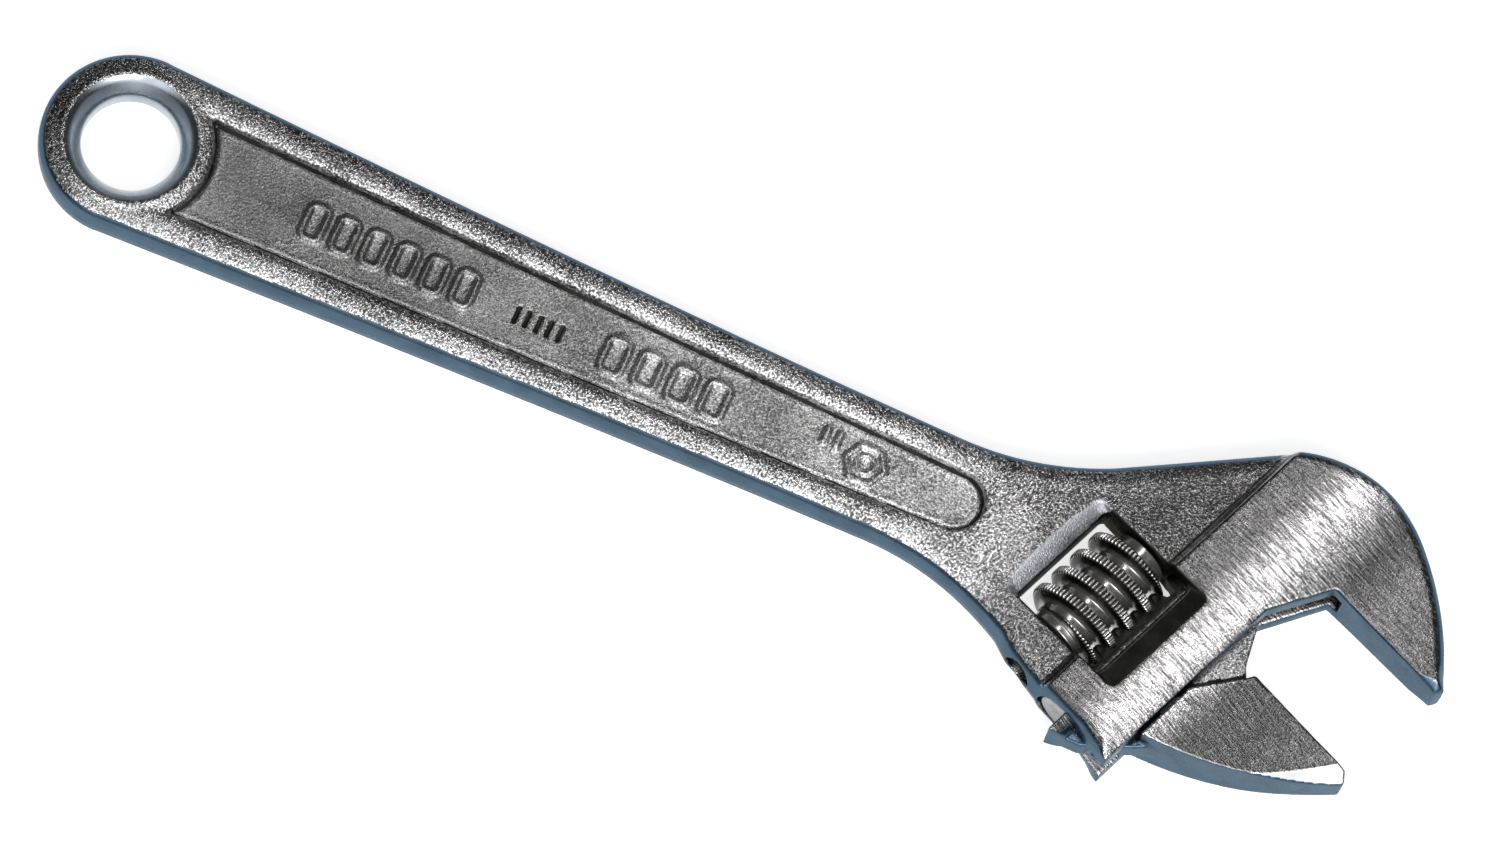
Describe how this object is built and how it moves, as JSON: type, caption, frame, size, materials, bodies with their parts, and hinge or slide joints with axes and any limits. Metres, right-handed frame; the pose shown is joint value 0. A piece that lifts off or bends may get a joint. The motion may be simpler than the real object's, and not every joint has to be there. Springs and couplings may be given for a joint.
{
  "type": "adjustable wrench",
  "caption": "Adjustable wrench: forged handle with recessed panels and hanging hole, fixed jaw, sliding rack jaw and knurled worm on a pin.",
  "frame": {"origin": "centre of the hanging hole on the handle's mid-plane", "axes": "+X along the handle towards the head, +Z square to the flat faces, +Y to the fixed jaw's side; the jaws are turned 22.5 degrees from +X towards -Y"},
  "size_m": [0.2038, 0.0526, 0.0132],
  "materials": {
    "forged_chrome": "satin chrome over a blasted forging, ground and linished head faces",
    "ground_chrome": "satin chrome over ground faces",
    "worm_steel": "dark bright-rolled steel with knurled crests",
    "pin_steel": "turned steel",
    "spring_steel": "drawn spring wire"
  },
  "bodies": {
    "body": {"wrench_body": "forged_chrome", "worm_pin": "pin_steel", "worm_spring": "spring_steel"},
    "jaw": {"movable_jaw": "ground_chrome"},
    "worm": {"adjusting_worm": "worm_steel"}
  },
  "joints": [
    {"name": "jaw_slide", "type": "slide", "parent": "body", "child": "jaw", "axis": [0.3827, 0.9239, 0], "range_m": [-0.0075, 0.0164]},
    {"name": "worm_spin", "type": "hinge", "parent": "body", "child": "worm", "pos_m": [0.12389, -0.05132, 0], "axis": [0.3827, 0.9239, 0], "range_deg": [-1700, 780]}
  ],
  "couplings": [
    {"joint": "worm_spin", "follows": "jaw_slide", "rad_per_m": -1795.2}
  ]
}
